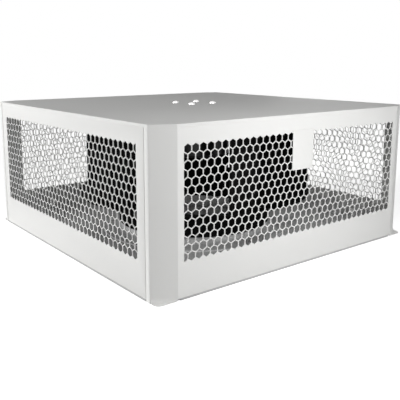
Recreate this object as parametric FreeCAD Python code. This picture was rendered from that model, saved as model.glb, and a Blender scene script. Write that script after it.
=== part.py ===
import FreeCAD
import Part
import math
import os

# Enclosure roof fan: a square sheet-steel hood with honeycomb grilles over a backward-curved impeller.
# Millimetres, +Z up. The origin is the centre of the footprint on the roof, and the front is -Y.

# Hood
hood_width = 400.0             # outer face to outer face, both ways
hood_height = 173.0            # roof to the upper face of the top plate
sheet = 1.5                    # steel of the panels, the top plate and the tray
fold_radius = 2.5              # outer radius of a fold
top_flange = 20.0              # inward flange that carries the top plate, from the panel's outer face
front_chamfer = 25.0           # leg of the corner chamfer along the front and rear panels
side_chamfer = 12.0            # leg of the corner chamfer along the side panels
corner_strip = 6.3             # strip beyond the chamfer that lies in the plane of the side panel
seam_gap = 0.8                 # open joint between that strip and the side panel
fold_relief = 3.0              # notch between the top flange and the chamfer fold
foot_fold_radius = 4.0         # hollow side of the fold that turns the chamfer out into a foot
foot_tip_radius = 7.0
fit_gap = 0.2                  # assembly clearance between sheet pieces

# Honeycomb grille, at twice the pitch of the finished sheet
grille_pitch = 19.0
grille_web = 2.2
grille_side_margin = 32.0      # hood corner to the outermost cells
grille_bottom_margin = 37.0    # roof to the lowest cells
grille_top_margin = 17.5       # highest cells to the upper face of the top plate

# Roof seal and base tray
seal_height = 2.2
seal_width = 14.0
tray_edge_height = 24.0        # upturned edge, from the tray's underside
tray_edge_relief = 30.0        # hood corner to the end of each upturned edge
mount_inset = 40.0             # hood's outer face to the roof fixings
mount_thread = 6.0
rivet_nut_wall = 1.5
rivet_nut_flange = 2.0
rivet_nut_flange_thickness = 0.8
rivet_nut_length = 13.0

# Studs welded to the sheets, and their nuts
panel_stud = 5.0
panel_stud_height = 15.0       # roof to the stud axis
panel_stud_spacing = 240.0
panel_nut_width = 8.0
panel_nut_height = 4.0
plate_stud = 4.0
plate_stud_spacing = 220.0
plate_stud_inset = 12.0        # panel's outer face to the stud axis
plate_nut_width = 7.0
plate_nut_height = 3.2
stud_projection = 2.0          # stud end past its nut
hole_gap = 0.25                # radial room round a stud, screw or rivet

# Intake nozzle
throat_radius = 98.5
nozzle_sheet = 1.5
nozzle_curve = 7.0            # outer radius of the bell mouth
nozzle_collar = 8.0           # straight throat above the bell mouth
nozzle_flange = 20.0
rivet_count = 8
rivet_radius = 2.0
rivet_head_radius = 3.8
rivet_head_height = 1.3

# Impeller
impeller_radius = 158.0
impeller_sheet = 2.0
running_gap = 2.0              # nozzle to shroud, radially
shroud_lift = 2.0              # end of the bell mouth to the shroud's lower edge
shroud_collar = 5.0
shroud_curve = 30.0            # mid-sheet radius between the collar and the cone
shroud_slope = 13.0            # cone above the horizontal, in degrees
blade_count = 5
blade_inner_radius = 98.0
blade_sweep = 42.0             # plan angle between a blade's tip and its root, in degrees
blade_camber = 12.0            # rise of the blade's arc over its chord
blade_first_angle = 31.0       # plan angle of the first tip from +X, in degrees
blade_seat_gap = 0.15          # weld gap between a blade and the discs
blade_lift = 5.0               # top of the nozzle to a blade's lower corner at the eye
back_plate_dish = 3.0          # rise of the back plate outside its hub seat
back_plate_dish_start = 68.0
back_plate_dish_end = 84.0

# Motor
motor_flange_radius = 52.0
motor_flange_thickness = 8.0
motor_screw_spacing = 36.0
motor_screw_thread = 4.0
motor_screw_head_radius = 4.0
motor_screw_head_height = 2.6
motor_screw_grip = 6.0         # length of thread in the motor flange
can_gap = 5.0                  # rim of the rotor can to the motor flange
can_radius = 48.0
can_height = 54.0
can_wall = 2.0
can_foot_radius = 3.0          # rounded lower edge of the can
can_seat_drop = 11.0           # rim of the can to the impeller seat
can_seat_radius = 64.0
can_seat_thickness = 2.5
can_hub_radius = 10.0
can_hub_height = 7.0
shaft_radius = 4.0
shaft_fit = 0.03               # running clearance in the bearings, radially
press_gap = 0.02               # nominal gap drawn between pieces that are pressed together
shaft_end = 5.5                # shaft above the upper bearing
bearing_radius = 11.0
bearing_width = 7.0
bearing_land = 2.0             # end of the bearing tube to the lower bearing
bearing_span = 32.0            # shoulder between the two bearings
bearing_shoulder = 2.0
tube_wall = 2.5
axial_gap = 0.3                # play between turning and standing faces
magnet_thickness = 4.4
magnet_height = 30.0
air_gap = 1.5
core_height = 26.0
core_teeth = 12
core_yoke = 7.0
core_slot_width = 9.0
winding_height = 7.0
winding_inset = 3.0
circlip_width = 2.2
circlip_thickness = 1.0
circlip_groove = 0.6
circlip_opening = 60.0         # open part of the ring, in degrees
hub_screw_count = 6
hub_screw_circle = 57.0
hub_screw_radius = 2.5
hub_screw_head_radius = 4.5
hub_screw_head_height = 2.8
hub_screw_length = 7.0

# Electrical entry on the tray
entry_setback = 32.0           # rear face of the hood to the line of the grommet and the terminal box
grommet_offset = 30.0          # middle of the hood to the grommet
grommet_bore = 5.0
grommet_hole = 9.0
grommet_lip = 3.0
grommet_lip_height = 1.5
terminal_box_offset = 92.0     # middle of the hood to the middle of the terminal box
terminal_box_length = 62.0
terminal_box_depth = 36.0
terminal_box_height = 26.0
terminal_box_wall = 2.0
terminal_box_lid_height = 5.0
terminal_box_corner = 4.0
lid_screw_radius = 1.5
lid_screw_head_radius = 2.8
lid_screw_head_height = 1.8
lid_screw_inset = 6.0
lid_screw_depth = 9.0
lid_boss_radius = 3.6

vec = FreeCAD.Vector
up = vec(0, 0, 1)
origin = vec(0, 0, 0)
half = hood_width/2
mount_spacing = hood_width - 2*mount_inset
tray_low = seal_height
tray_high = tray_low + sheet
flange_top = hood_height - sheet
arc_middle = math.sqrt(0.5)      # each leg of the middle point of a quarter circle of radius 1
grommet_place = (grommet_offset, half - entry_setback)
terminal_box_place = (terminal_box_offset, half - entry_setback)

# Levels of the motor, worked down from the top plate
motor_flange_low = flange_top - motor_flange_thickness
can_rim = motor_flange_low - can_gap
can_low = can_rim - can_height
can_seat = can_rim - can_seat_drop
can_inner = can_radius - can_wall
hub_top = can_low + can_wall + can_hub_height
tube_low = hub_top + axial_gap
lower_bearing_low = tube_low + bearing_land
upper_bearing_low = lower_bearing_low + bearing_width + bearing_span
upper_bearing_high = upper_bearing_low + bearing_width
tube_radius = bearing_radius + tube_wall
core_radius = can_inner - magnet_thickness - air_gap
core_middle = (can_low + can_wall + can_rim)/2
circlip_low = upper_bearing_high + axial_gap
hub_screw_under = can_seat + impeller_sheet

# Levels of the intake, worked up from the tray
bell_end = tray_high + nozzle_sheet + nozzle_curve
nozzle_high = bell_end + nozzle_collar
nozzle_outer = throat_radius + nozzle_sheet
bell_foot = nozzle_outer + nozzle_curve
rivet_circle = bell_foot + nozzle_flange/2
shroud_low = bell_end + shroud_lift
shroud_eye = nozzle_outer + running_gap + impeller_sheet/2


def line(start, end):
    """Straight edge between two points."""
    return Part.LineSegment(start, end).toShape()


def arc(start, middle, end):
    """Round edge through three points."""
    return Part.Arc(start, middle, end).toShape()


def section(radius, height):
    """Point of a turned profile."""
    return vec(radius, 0, height)


def prism(points, low, high):
    """Plan outline of (x, y) points, raised from low to high."""
    corners = [vec(x, y, low) for x, y in points]
    return Part.Face(Part.makePolygon(corners + corners[:1])).extrude(up*(high - low))


def block(x_range, y_range, low, high):
    """Rectangular solid between two corners."""
    size = (x_range[1] - x_range[0], y_range[1] - y_range[0], high - low)
    return Part.makeBox(*size, vec(x_range[0], y_range[0], low))


def disc(radius, low, high, place=(0.0, 0.0)):
    """Upright cylinder from low to high."""
    return Part.makeCylinder(radius, high - low, vec(*place, low))


def ring(inner, outer, low, high, place=(0.0, 0.0)):
    """Upright tube from low to high."""
    return disc(outer, low, high, place).cut(disc(inner, low, high, place))


def hexagon(width, low, high, place=(0.0, 0.0)):
    """Upright hexagonal prism, width across its flats."""
    reach = width/math.sqrt(3.0)
    angles = [math.radians(60.0*k) for k in range(6)]
    points = [(place[0] + reach*math.cos(a), place[1] + reach*math.sin(a)) for a in angles]
    return prism(points, low, high)


def lathe(edges):
    """Closed profile of edges in the XZ plane, turned about the fan's axis."""
    return Part.Face(Part.Wire(edges)).revolve(origin, up, 360.0)


def turned(shape, angle):
    """Copy of a shape, turned about the fan's axis."""
    copy = shape.copy()
    copy.rotate(origin, up, angle)
    return copy


def lying(shape, height):
    """Copy of an upright shape that starts at the origin, laid along +Y at a height."""
    copy = shape.copy()
    copy.rotate(origin, vec(1, 0, 0), -90.0)
    copy.translate(up*height)
    return copy


def moved(shape, x, y, z=0.0):
    """Copy of a shape, moved."""
    copy = shape.copy()
    copy.translate(vec(x, y, z))
    return copy


def square_places(spacing):
    """Centres of four pieces on the corners of a square."""
    return [(sx*spacing/2, sy*spacing/2) for sx in (-1, 1) for sy in (-1, 1)]


def circle_places(radius, count):
    """Centres of pieces evenly spaced on a circle."""
    angles = [2.0*math.pi*k/count for k in range(count)]
    return [(radius*math.cos(a), radius*math.sin(a)) for a in angles]


def rounded_chain(points, radius):
    """Edges along plan points, with each corner between two runs rounded to a radius."""
    starts = [points[0]]
    edges = []
    for before, corner, after in zip(points, points[1:], points[2:]):
        back = (before - corner).normalize()
        ahead = (after - corner).normalize()
        turn = math.pi - back.getAngle(ahead)
        run = radius*math.tan(turn/2)
        apex = corner + (back + ahead).normalize()*(math.hypot(radius, run) - radius)
        edges.append(line(starts[-1], corner + back*run))
        edges.append(arc(corner + back*run, apex, corner + ahead*run))
        starts.append(corner + ahead*run)
    edges.append(line(starts[-1], points[-1]))
    return edges


def offset_left(points, distance):
    """Plan points of the path that runs beside another, to its left."""
    aheads = [(b - a).normalize() for a, b in zip(points, points[1:])]
    normals = [vec(-a.y, a.x, 0) for a in aheads]
    before = [normals[0]] + normals
    after = normals + [normals[-1]]
    return [p + (m + n)*(distance/(1 + m.dot(n))) for p, m, n in zip(points, before, after)]


def folded_wall(points, low, high):
    """Standing sheet whose outer face follows plan points, folded at each of them."""
    inner = offset_left(points, sheet)[::-1]
    edges = rounded_chain(points, fold_radius) + [line(points[-1], inner[0])]
    edges += rounded_chain(inner, fold_radius - sheet) + [line(inner[-1], points[0])]
    wall = Part.Face(Part.Wire(edges)).extrude(up*(high - low))
    return moved(wall, 0, 0, low)


def folded_edge(length, face, end, fold, reach):
    """Sheet along X with its outer face at y = face, from height end to a fold, then inwards for reach."""
    side = math.copysign(1.0, fold - end)
    inner_radius = fold_radius - sheet
    spring = fold - side*fold_radius

    def point(depth, height):
        return vec(-length/2, face + depth, height)

    def bend(radius):
        across = fold_radius - radius*arc_middle
        return point(across, spring + side*radius*arc_middle)

    outer_start = point(0, spring)
    outer_end = point(fold_radius, fold)
    inner_start = point(fold_radius, fold - side*sheet)
    inner_end = point(sheet, spring)
    edges = [line(point(0, end), outer_start), arc(outer_start, bend(fold_radius), outer_end)]
    edges += [line(outer_end, point(reach, fold))]
    edges += [line(point(reach, fold), point(reach, fold - side*sheet))]
    edges += [line(point(reach, fold - side*sheet), inner_start)]
    edges += [arc(inner_start, bend(inner_radius), inner_end), line(inner_end, point(sheet, end))]
    edges += [line(point(sheet, end), point(0, end))]
    return Part.Face(Part.Wire(edges)).extrude(vec(length, 0, 0))


def grille_cell(x, height, half_side):
    """Prism of one honeycomb cell through a front panel, or of the half that half_side names."""
    flat = (grille_pitch - grille_web)/2
    tip = 2*flat/math.sqrt(3.0)
    cut = grille_web/2
    cut_height = tip - cut/math.sqrt(3.0)
    if half_side:
        outline = [(cut, cut_height), (flat, tip/2), (flat, -tip/2), (cut, -cut_height)]
        outline = [(half_side*across, rise) for across, rise in outline]
    else:
        outline = [(0, tip), (flat, tip/2), (flat, -tip/2), (0, -tip), (-flat, -tip/2), (-flat, tip/2)]
    corners = [vec(x + across, -half - sheet, height + rise) for across, rise in outline]
    return Part.Face(Part.makePolygon(corners + corners[:1])).extrude(vec(0, 3*sheet, 0))


def grille_cells():
    """All cells of one panel: rows a half pitch apart in turn, each closed by a half cell."""
    row_step = grille_pitch*math.sqrt(3.0)/2
    tip_height = 2*(grille_pitch - grille_web)/math.sqrt(3.0)
    room = hood_height - grille_top_margin - grille_bottom_margin
    rows = 1 + int((room - tip_height)/row_step)
    columns = int((hood_width - 2*grille_side_margin)/grille_pitch - 0.5)
    middle = grille_bottom_margin + room/2
    cells = []
    for row in range(rows):
        height = middle + row_step*((rows - 1)/2 - row)
        lean = -1 if row % 2 == 0 else 1
        for column in range(columns):
            cells.append(grille_cell(grille_pitch*(column - (columns - 1)/2 + lean/4), height, 0))
        cells.append(grille_cell(-lean*grille_pitch*(columns/2 + 0.25), height, lean))
    return Part.makeCompound(cells)


def both_ends(shape):
    """A shape at the right end of the front, and its mirror image at the left end."""
    return [shape, shape.mirror(origin, vec(1, 0, 0))]


def all_round(shapes):
    """Shapes drawn at the front, repeated on the four sides."""
    return Part.makeCompound([turned(shape, angle) for angle in (0, 90, 180, 270) for shape in shapes])


def panel_studs():
    """Studs welded to the inner faces of the panels, low down, for the tray's upturned edges."""
    length = sheet + fit_gap + panel_nut_height + stud_projection
    stud = lying(disc(panel_stud/2, 0, length), panel_stud_height)
    return all_round([moved(stud, x, sheet - half) for x in (-panel_stud_spacing/2, panel_stud_spacing/2)])


def plate_stud_places():
    """Plan places of the studs under the top plate along the front."""
    return [(x, plate_stud_inset - half) for x in (-plate_stud_spacing/2, plate_stud_spacing/2)]


def plate_stud_holes():
    """Clearance holes for those studs in a front panel's top flange."""
    radius = plate_stud/2 + hole_gap
    return [disc(radius, flange_top - 2*sheet, hood_height, place) for place in plate_stud_places()]


def foot():
    """Sheet at the foot of the front right chamfer, folded out to the corner of the footprint."""
    along = vec(front_chamfer, side_chamfer, 0)
    length = along.Length
    along.normalize()
    outward = vec(along.y, -along.x, 0)
    start = vec(half - front_chamfer, -half, 0)
    spring = sheet + foot_fold_radius

    def point(out, height):
        return start + outward*out + up*height

    def bend(radius):
        return point(foot_fold_radius - radius*arc_middle, spring - radius*arc_middle)

    reach = front_chamfer
    edges = [line(point(-sheet, spring), point(0, spring))]
    edges += [arc(point(0, spring), bend(foot_fold_radius), point(foot_fold_radius, sheet))]
    edges += [line(point(foot_fold_radius, sheet), point(reach, sheet))]
    edges += [line(point(reach, sheet), point(reach, 0))]
    edges += [line(point(reach, 0), point(foot_fold_radius, 0))]
    edges += [arc(point(foot_fold_radius, 0), bend(foot_fold_radius + sheet), point(-sheet, spring))]
    bent = Part.Face(Part.Wire(edges)).extrude(along*length)
    corner = [vec(0, -half, 0), vec(half, -half, 0), vec(half, 0, 0)]
    outline = rounded_chain(corner, foot_tip_radius) + [line(corner[2], origin), line(origin, corner[0])]
    return bent.common(Part.Face(Part.Wire(outline)).extrude(up*2*spring))


def end_panel():
    """Front panel: the grille, the two chamfered corners with their feet, and the top flange."""
    chamfer_start = half - front_chamfer
    chamfer_end = -half + side_chamfer
    right = [vec(chamfer_start, -half, 0), vec(half, chamfer_end, 0)]
    right += [vec(half, chamfer_end + corner_strip, 0)]
    left = [vec(-p.x, p.y, 0) for p in right[::-1]]
    wall = folded_wall(left + right, 0, flange_top)

    flat = (fold_relief - chamfer_start, chamfer_start - fold_relief)
    through = (-half - sheet, -half + 2*sheet)
    flange_start = flange_top - 2*fold_radius
    above = block(flat, through, flange_start, hood_height)
    below = block(flat, through, 0, seal_height)
    under_chamfer = block((chamfer_start, half), (-half - sheet, chamfer_end), 0, sheet + foot_fold_radius)
    wall = wall.cut([above, below, grille_cells()] + both_ends(under_chamfer))

    flange = folded_edge(flat[1] - flat[0], -half, flange_start, flange_top, top_flange)
    return wall.fuse([flange.cut(plate_stud_holes())] + both_ends(foot()))


def side_panel():
    """Flat panel between two corner strips, drawn at the front: the grille and the top flange."""
    length = hood_width - 2*(side_chamfer + corner_strip + seam_gap)
    wall = folded_edge(length, -half, seal_height, flange_top, top_flange)
    return wall.cut(plate_stud_holes() + [grille_cells()])


def corner_outline(inset):
    """Plan outline of the hood's octagon, drawn in by a distance from every outer face."""
    right = [vec(0, -half, 0), vec(half - front_chamfer, -half, 0), vec(half, -half + side_chamfer, 0)]
    right += [vec(half, 0, 0)]
    front, side = offset_left(right, inset)[1:3]
    quarter = [(front.x, front.y), (side.x, side.y)]
    behind = [(x, -y) for x, y in quarter[::-1]]
    return quarter + behind + [(-x, -y) for x, y in quarter + behind]


def top_plate():
    """Flat plate on the four flanges, flush with the panels, with the motor's screw holes."""
    plate = prism(corner_outline(0.0), flange_top, hood_height)
    holes = [disc(motor_screw_thread/2 + hole_gap, flange_top, hood_height, place)
             for place in square_places(motor_screw_spacing)]
    return plate.cut(holes)


def top_plate_studs():
    """Studs welded under the top plate, through the flanges."""
    low = flange_top - sheet - plate_nut_height - stud_projection
    return all_round([disc(plate_stud/2, low, flange_top, place) for place in plate_stud_places()])


def top_plate_nuts():
    """Nuts that hold the top plate's studs under the flanges."""
    high = flange_top - sheet
    nut = [hexagon(plate_nut_width, high - plate_nut_height, high, place)
           .cut(disc(plate_stud/2 + press_gap, high - plate_nut_height, high, place))
           for place in plate_stud_places()]
    return all_round(nut)


def panel_nuts():
    """Nuts that hold the panels' studs inside the tray's upturned edges."""
    bore = disc(panel_stud/2 + press_gap, 0, panel_nut_height)
    laid = lying(hexagon(panel_nut_width, 0, panel_nut_height).cut(bore), panel_stud_height)
    seat = 2*sheet + fit_gap - half
    return all_round([moved(laid, x, seat) for x in (-panel_stud_spacing/2, panel_stud_spacing/2)])


def roof_seal():
    """Foam frame under the tray and the panels, notched where the corners reach the roof."""
    square = block((-half, half), (-half, half), 0, seal_height)
    inner = prism(corner_outline(sheet + fit_gap), 0, seal_height)
    along_front = half - front_chamfer - fold_relief - fit_gap
    along_side = half - side_chamfer - corner_strip - seam_gap
    arms = block((-along_front, along_front), (-half, half), 0, seal_height)
    arms = arms.fuse(block((-half, half), (-along_side, along_side), 0, seal_height))
    opening = half - seal_width
    hollow = block((-opening, opening), (-opening, opening), 0, seal_height)
    chamfered = hollow.common(prism(corner_outline(seal_width), 0, seal_height))
    return square.common(inner.fuse(arms)).cut(chamfered).removeSplitter()


def base_tray():
    """Tray inside the panels: floor with the intake hole, upturned edges and the holes for its fixings."""
    inset = sheet + fit_gap
    face = inset - half
    length = hood_width - 2*tray_edge_relief
    floor = prism(corner_outline(inset + fold_radius), tray_low, tray_high)
    edge = folded_edge(length, face, tray_low + tray_edge_height, tray_low, 2*fold_radius)
    hole = lying(disc(panel_stud/2 + hole_gap, 0, 3*sheet), panel_stud_height)
    holes = [moved(hole, x, face - sheet) for x in (-panel_stud_spacing/2, panel_stud_spacing/2)]
    edge = edge.cut(holes)
    tray = floor.fuse([turned(edge, angle) for angle in (0, 90, 180, 270)]).removeSplitter()
    cuts = [disc(bell_foot, tray_low, tray_high)]
    cuts += [disc(rivet_radius + hole_gap, tray_low, tray_high, place) for place in rivet_places()]
    cuts += [disc(mount_thread/2 + rivet_nut_wall + press_gap, tray_low, tray_high, place)
             for place in square_places(mount_spacing)]
    cuts += [disc(grommet_hole, tray_low, tray_high, grommet_place)]
    return tray.cut(cuts)


def rivet_nuts():
    """Threaded inserts in the tray that take the roof bolts from below."""
    bore = mount_thread/2
    outer = bore + rivet_nut_wall
    low = tray_low - rivet_nut_flange_thickness
    pieces = []
    for place in square_places(mount_spacing):
        body = disc(outer, low, low + rivet_nut_length, place)
        bulge = disc(outer + rivet_nut_flange/2, tray_high, tray_high + rivet_nut_flange, place)
        collar = disc(outer + rivet_nut_flange, low, tray_low, place)
        pieces.append(body.fuse([bulge, collar]).cut(disc(bore, low, low + rivet_nut_length, place)))
    return Part.makeCompound(pieces)


def rivet_places():
    """Plan places of the rivets in the nozzle's flange."""
    return circle_places(rivet_circle, rivet_count)


def inlet_nozzle():
    """Bell mouth that leads the air from the tray into the impeller's eye."""
    foot_high = tray_high + nozzle_sheet
    outer_bend = bell_foot - nozzle_curve*arc_middle
    inner_curve = nozzle_curve + nozzle_sheet
    inner_bend = bell_foot - inner_curve*arc_middle
    rim = bell_foot + nozzle_flange
    edges = [line(section(throat_radius, bell_end), section(throat_radius, nozzle_high))]
    edges += [line(section(throat_radius, nozzle_high), section(nozzle_outer, nozzle_high))]
    edges += [line(section(nozzle_outer, nozzle_high), section(nozzle_outer, bell_end))]
    edges += [arc(section(nozzle_outer, bell_end), section(outer_bend, bell_end - nozzle_curve*arc_middle),
                  section(bell_foot, foot_high))]
    edges += [line(section(bell_foot, foot_high), section(rim, foot_high))]
    edges += [line(section(rim, foot_high), section(rim, tray_high))]
    edges += [line(section(rim, tray_high), section(bell_foot, tray_high))]
    edges += [arc(section(bell_foot, tray_high), section(inner_bend, bell_end - inner_curve*arc_middle),
                  section(throat_radius, bell_end))]
    holes = [disc(rivet_radius + hole_gap, tray_low, foot_high, place) for place in rivet_places()]
    return lathe(edges).cut(holes)


def nozzle_rivets():
    """Rivets that hold the nozzle's flange on the tray."""
    low = tray_low - rivet_head_height
    seat = tray_high + nozzle_sheet
    pieces = []
    for place in rivet_places():
        shank = disc(rivet_radius, low, seat + rivet_head_height, place)
        heads = [disc(rivet_head_radius, low, tray_low, place)]
        heads += [disc(rivet_head_radius, seat, seat + rivet_head_height, place)]
        pieces.append(shank.fuse(heads))
    return Part.makeCompound(pieces)


def cable_grommet():
    """Rubber grommet for the supply lead, gripping the tray's hole."""
    outer = grommet_hole + grommet_lip
    body = disc(grommet_hole - press_gap, tray_low, tray_high, grommet_place)
    below = disc(outer, tray_low - grommet_lip_height, tray_low, grommet_place)
    above = Part.makeCone(outer, grommet_hole, 2*grommet_lip_height, vec(*grommet_place, tray_high))
    bore = disc(grommet_bore, 0, hood_height, grommet_place)
    return body.fuse([below, above]).cut(bore)


def rounded_box(length, depth, corner, low, high):
    """Upright box with rounded corners, centred on the terminal box's place."""
    x, y = terminal_box_place
    box = block((x - length/2, x + length/2), (y - depth/2, y + depth/2), low, high)
    uprights = [e for e in box.Edges if abs(e.tangentAt(e.FirstParameter).z) > 0.5]
    return box.makeFillet(corner, uprights)


def lid_screw_places():
    """Plan places of the terminal box's screws, in two opposite corners."""
    x, y = terminal_box_place
    across = terminal_box_length/2 - lid_screw_inset
    back = terminal_box_depth/2 - lid_screw_inset
    return [(x - across, y - back), (x + across, y + back)]


def terminal_box():
    """Open box on the tray with two screw bosses and a lead entry."""
    high = tray_high + terminal_box_height - terminal_box_lid_height
    floor = tray_high + terminal_box_wall
    inner = (terminal_box_length - 2*terminal_box_wall, terminal_box_depth - 2*terminal_box_wall)
    outside = rounded_box(terminal_box_length, terminal_box_depth, terminal_box_corner, tray_high, high)
    hollow = rounded_box(*inner, terminal_box_corner - terminal_box_wall, floor, high)
    places = lid_screw_places()
    bosses = [disc(lid_boss_radius, floor - terminal_box_wall/2, high, place) for place in places]
    holes = [disc(lid_screw_radius + press_gap, high - lid_screw_depth, high, place) for place in places]
    entry = Part.makeCylinder(grommet_bore, 2*terminal_box_wall, vec(0, 0, 0), vec(1, 0, 0))
    x, y = terminal_box_place
    entry = moved(entry, x - terminal_box_length/2 - terminal_box_wall/2, y, (tray_high + high)/2)
    return outside.cut(hollow).cut(entry).fuse(bosses).cut(holes)


def terminal_box_lid():
    """Lid with a rim-high skirt and countersunk screw seats."""
    low = tray_high + terminal_box_height - terminal_box_lid_height
    high = tray_high + terminal_box_height
    lid = rounded_box(terminal_box_length, terminal_box_depth, terminal_box_corner, low, high)
    holes = [disc(lid_screw_radius + hole_gap, low, high, place) for place in lid_screw_places()]
    seats = [disc(lid_screw_head_radius + hole_gap, high - lid_screw_head_height, high, place)
             for place in lid_screw_places()]
    return lid.cut(holes + seats)


def lid_screws():
    """Screws that hold the lid, their heads level with it."""
    high = tray_high + terminal_box_height
    tip = high - terminal_box_lid_height - lid_screw_depth
    pieces = []
    for place in lid_screw_places():
        head = disc(lid_screw_head_radius, high - lid_screw_head_height, high, place)
        pieces.append(head.fuse(disc(lid_screw_radius, tip + axial_gap, high, place)))
    return Part.makeCompound(pieces)


def motor_flange():
    """Cast flange under the top plate, with the tube that carries the bearings and the stator."""
    body = disc(motor_flange_radius, motor_flange_low, flange_top)
    body = body.fuse(disc(tube_radius, tube_low, motor_flange_low))
    cuts = [disc(bearing_radius, tube_low, lower_bearing_low + bearing_width)]
    cuts += [disc(bearing_radius - bearing_shoulder, tube_low, upper_bearing_low)]
    cuts += [disc(bearing_radius, upper_bearing_low, upper_bearing_high + shaft_end + axial_gap)]
    cuts += [disc(motor_screw_thread/2, flange_top - motor_screw_grip - axial_gap, flange_top, place)
             for place in square_places(motor_screw_spacing)]
    return body.cut(cuts)


def bearing(low):
    """Closed ball bearing, drawn as one ring with a shield recess on each face."""
    bore = shaft_radius + shaft_fit
    outer = bearing_radius - press_gap
    race = (outer - bore)/4
    recess = race/4
    body = ring(bore, outer, low, low + bearing_width)
    shields = [ring(bore + race, outer - race, low, low + recess)]
    shields += [ring(bore + race, outer - race, low + bearing_width - recess, low + bearing_width)]
    return body.cut(shields)


def stator_core():
    """Laminated core pressed on the bearing tube, with open slots between its teeth."""
    low = core_middle - core_height/2
    high = core_middle + core_height/2
    core = ring(tube_radius + press_gap, core_radius, low, high)
    yoke = tube_radius + core_yoke
    slot = block((yoke, core_radius + air_gap), (-core_slot_width/2, core_slot_width/2), low, high)
    return core.cut([turned(slot, 360.0*k/core_teeth) for k in range(core_teeth)])


def stator_windings():
    """End turns above and below the core, as two rounded rings."""
    inner = tube_radius + winding_inset
    outer = core_radius - winding_inset
    rings = []
    for low in (core_middle + core_height/2, core_middle - core_height/2 - winding_height):
        body = ring(inner, outer, low, low + winding_height)
        rims = [e for e in body.Edges if e.Closed]
        rings.append(body.makeFillet(winding_inset/2, rims))
    return Part.makeCompound(rings)


def motor_screws():
    """Pan-head screws through the top plate into the motor flange."""
    dome = motor_screw_head_height/3
    pieces = []
    for place in square_places(motor_screw_spacing):
        head = disc(motor_screw_head_radius, hood_height, hood_height + motor_screw_head_height, place)
        crown = [e for e in head.Edges if e.Closed and e.CenterOfMass.z > hood_height + dome]
        head = head.makeFillet(dome, crown)
        tip = flange_top - motor_screw_grip
        pieces.append(head.fuse(disc(motor_screw_thread/2 - press_gap, tip, hood_height, place)))
    return Part.makeCompound(pieces)


def hub_screw_places():
    """Plan places of the screws between the back plate and the rotor can."""
    return circle_places(hub_screw_circle, hub_screw_count)


def rotor_can():
    """Deep-drawn cup of the external rotor, with the hub for its shaft and the impeller's seat."""
    cup = disc(can_radius, can_low, can_rim).cut(disc(can_inner, can_low + can_wall, can_rim))
    foot_edge = [e for e in cup.Edges if e.Closed and abs(e.CenterOfMass.z - can_low) < axial_gap]
    cup = cup.makeFillet(can_foot_radius, foot_edge)
    seat = ring(can_radius - can_wall/2, can_seat_radius, can_seat - can_seat_thickness, can_seat)
    hub = disc(can_hub_radius, can_low + can_wall/2, hub_top)
    holes = [disc(hub_screw_radius + press_gap, can_low, can_rim, place) for place in hub_screw_places()]
    bore = disc(shaft_radius + press_gap, can_low, can_rim)
    return cup.fuse([seat, hub]).cut(holes).cut(bore)


def rotor_magnets():
    """Magnet ring bonded inside the can."""
    inner = can_inner - magnet_thickness
    return ring(inner, can_inner - press_gap, core_middle - magnet_height/2, core_middle + magnet_height/2)


def rotor_shaft():
    """Shaft fixed in the can's hub, with a groove for its circlip at the upper end."""
    shaft = disc(shaft_radius, can_low, upper_bearing_high + shaft_end)
    groove = ring(shaft_radius - circlip_groove, shaft_radius + circlip_groove,
                  circlip_low, circlip_low + circlip_thickness + press_gap)
    return shaft.cut(groove)


def shaft_circlip():
    """Open ring in the shaft's groove that keeps the rotor on the bearings."""
    inner = shaft_radius - circlip_groove + press_gap
    clip = ring(inner, inner + circlip_width, circlip_low + press_gap/2, circlip_low + circlip_thickness)
    reach = 2*(inner + circlip_width)
    spread = reach*math.tan(math.radians(circlip_opening/2))
    corners = [(0, 0), (reach, -spread), (reach, spread)]
    opening = prism(corners, circlip_low, circlip_low + circlip_thickness)
    return clip.cut(opening)


def shroud_edges(offset):
    """Collar, curve and cone of the shroud in section, offset from mid-sheet towards the air side."""
    turn = math.radians(90.0 - shroud_slope)
    spring = shroud_low + shroud_collar
    centre = section(shroud_eye + shroud_curve, spring)
    radius = shroud_curve + offset

    def bend(angle):
        return centre + section(-radius*math.cos(angle), radius*math.sin(angle))

    start = section(shroud_eye - offset, shroud_low)
    run = (impeller_radius - bend(turn).x)/math.sin(turn)
    rim = bend(turn) + section(math.sin(turn), math.cos(turn))*run
    return [line(start, bend(0)), arc(bend(0), bend(turn/2), bend(turn)), line(bend(turn), rim)]


def impeller_shroud():
    """Lower disc of the impeller: a collar round the nozzle that opens into a shallow cone."""
    air_side = shroud_edges(impeller_sheet/2)
    outside = shroud_edges(-impeller_sheet/2)
    rim = line(air_side[-1].lastVertex().Point, outside[-1].lastVertex().Point)
    lip = line(air_side[0].firstVertex().Point, outside[0].firstVertex().Point)
    return lathe(Part.sortEdges(air_side + outside + [rim, lip])[0])


def back_plate_points(offset):
    """Section of the back plate from its hub seat out to its rim, raised by an offset."""
    heights = (can_seat, can_seat, can_seat + back_plate_dish, can_seat + back_plate_dish)
    radii = (can_radius + fit_gap, back_plate_dish_start, back_plate_dish_end, impeller_radius)
    return [section(r, h + offset) for r, h in zip(radii, heights)]


def impeller_back_plate():
    """Upper disc of the impeller, dished down to its seat on the rotor can."""
    points = back_plate_points(0.0) + back_plate_points(impeller_sheet)[::-1]
    edges = [line(a, b) for a, b in zip(points, points[1:] + points[:1])]
    holes = [disc(hub_screw_radius + hole_gap, can_low, can_rim, place) for place in hub_screw_places()]
    return lathe(edges).cut(holes)


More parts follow.
